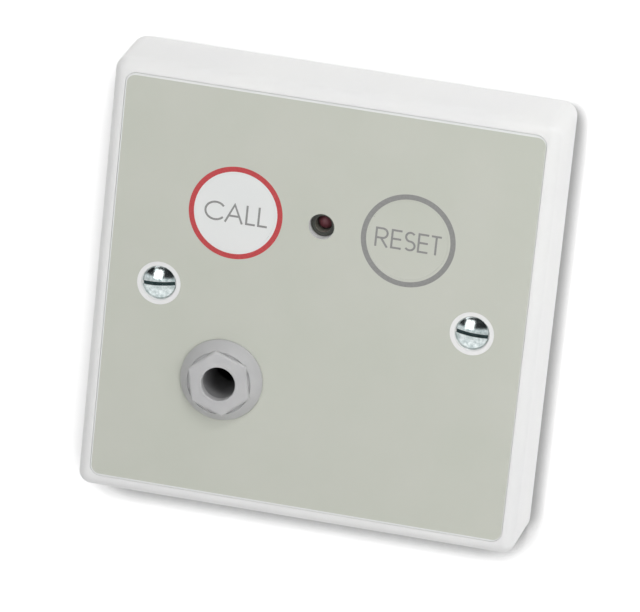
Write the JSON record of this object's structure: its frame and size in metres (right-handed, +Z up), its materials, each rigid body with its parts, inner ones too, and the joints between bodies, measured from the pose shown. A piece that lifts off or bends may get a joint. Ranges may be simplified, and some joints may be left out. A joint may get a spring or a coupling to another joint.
{
  "type": "wall-mounted nurse call point",
  "caption": "Square wall plate with a printed label, a round call key and a round reset key, an indicator lamp hole, a jack socket with a flanged nut and two fixing screws.",
  "frame": {"origin": "midway between the two fixing screws, on the wall plane (the plate's back rim)", "axes": "+X to the right of someone facing the plate, +Y into the wall, +Z up; the front faces -Y"},
  "size_m": [0.0856, 0.0336, 0.0856],
  "materials": {
    "plate_white": "satin white moulded urea",
    "label_print": "fine-textured printed polycarbonate film",
    "screw_steel": "bright zinc plate",
    "key_plastic": "moulded",
    "black_plastic": "moulded, satin black",
    "stamped_steel": "stamped",
    "tinned_brass": "tin plated",
    "lamp_red": "tinted clear epoxy",
    "board_green": "solder mask",
    "nut_grey": "moulded, satin grey",
    "terminal_green": "moulded polyamide",
    "chip_epoxy": "moulded epoxy",
    "capacitor_can": "drawn can"
  },
  "bodies": {
    "root": {"front_plate": "plate_white", "overlay_label": "label_print", "fixing_screws": "screw_steel", "call_switch_base": "black_plastic", "reset_switch_base": "black_plastic", "call_switch_cover": "stamped_steel", "reset_switch_cover": "stamped_steel", "call_switch_terminals": "tinned_brass", "reset_switch_terminals": "tinned_brass", "indicator_lamp": "lamp_red", "lamp_sleeve": "black_plastic", "lamp_leads": "tinned_brass", "circuit_board": "board_green", "board_screws": "screw_steel", "jack_body": "nut_grey", "jack_cover": "black_plastic", "jack_tip_spring": "tinned_brass", "jack_sleeve_spring": "tinned_brass", "jack_nut": "nut_grey", "terminal_block": "terminal_green", "terminal_clamps": "tinned_brass", "terminal_screws": "screw_steel", "control_chip": "chip_epoxy", "chip_leads": "tinned_brass", "smoothing_capacitor": "capacitor_can", "capacitor_base": "black_plastic", "capacitor_tabs": "tinned_brass", "resistor_chips": "chip_epoxy", "resistor_caps": "tinned_brass"},
    "call_key": {"call_plunger": "key_plastic", "call_switch_stem": "black_plastic"},
    "reset_key": {"reset_plunger": "key_plastic", "reset_switch_stem": "black_plastic"}
  },
  "joints": [
    {"name": "call_press", "type": "slide", "parent": "root", "child": "call_key", "axis": [0, 1, 0], "range_m": [0, 0.0004], "stiffness_N_per_m": 4000},
    {"name": "reset_press", "type": "slide", "parent": "root", "child": "reset_key", "axis": [0, 1, 0], "range_m": [0, 0.0004], "stiffness_N_per_m": 4000}
  ]
}
